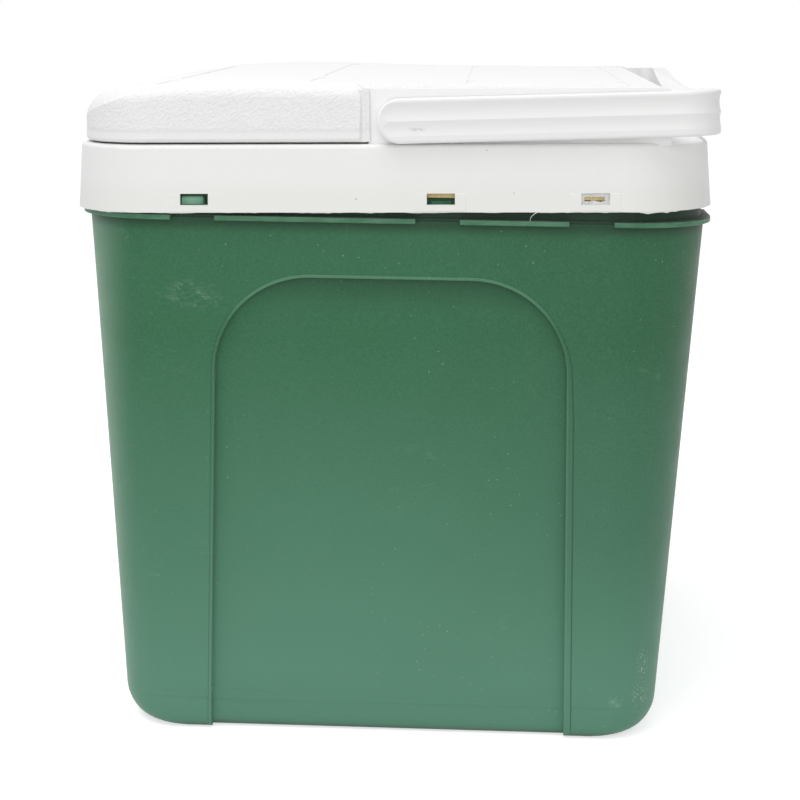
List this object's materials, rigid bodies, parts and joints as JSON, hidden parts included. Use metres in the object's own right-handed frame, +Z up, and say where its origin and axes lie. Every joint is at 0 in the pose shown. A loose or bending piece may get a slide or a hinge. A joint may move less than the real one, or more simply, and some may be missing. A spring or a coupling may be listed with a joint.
{
  "type": "vaccine carrier",
  "caption": "Insulated vaccine carrier box with a sunk-panel body, white clip-fit rim, hinged lid, folding swing handle and ice packs lining the chamber.",
  "frame": {"origin": "centre of the body's flat base, on the floor", "axes": "+Z up, +X towards the side the handle folds down to, +Y along the box's length"},
  "size_m": [0.3386, 0.388, 0.3557],
  "materials": {
    "green_plastic": "fine matte moulded polypropylene",
    "white_plastic": "satin moulded polypropylene",
    "foam": "rigid polyurethane foam",
    "gasket_rubber": "soft seal",
    "pin_steel": "drawn wire",
    "pack_plastic": "blow-moulded polyethylene",
    "cap_plastic": "moulded cap"
  },
  "bodies": {
    "box": {"outer_body": "green_plastic", "foam_core": "foam", "rim_liner": "white_plastic", "ice_pack_1": "pack_plastic", "ice_pack_2": "pack_plastic", "ice_pack_3": "pack_plastic", "ice_pack_4": "pack_plastic", "ice_pack_5": "pack_plastic", "ice_pack_6": "pack_plastic", "pack_cap_1": "cap_plastic", "pack_cap_2": "cap_plastic", "pack_cap_3": "cap_plastic", "pack_cap_4": "cap_plastic", "pack_cap_5": "cap_plastic", "pack_cap_6": "cap_plastic"},
    "lid": {"lid_cover": "white_plastic", "lid_pan": "white_plastic", "lid_foam": "foam", "lid_gasket": "gasket_rubber", "hinge_pin_near": "pin_steel", "hinge_pin_far": "pin_steel"},
    "handle": {"handle": "white_plastic"}
  },
  "joints": [
    {"name": "lid_hinge", "type": "hinge", "parent": "box", "child": "lid", "pos_m": [-0.16039, 0, 0.33003], "axis": [0, -1, 0], "range_deg": [0, 100]},
    {"name": "handle_pivot", "type": "hinge", "parent": "box", "child": "handle", "pos_m": [0.00371, 0, 0.33698], "axis": [0, -1, 0], "range_deg": [0, 100]}
  ]
}
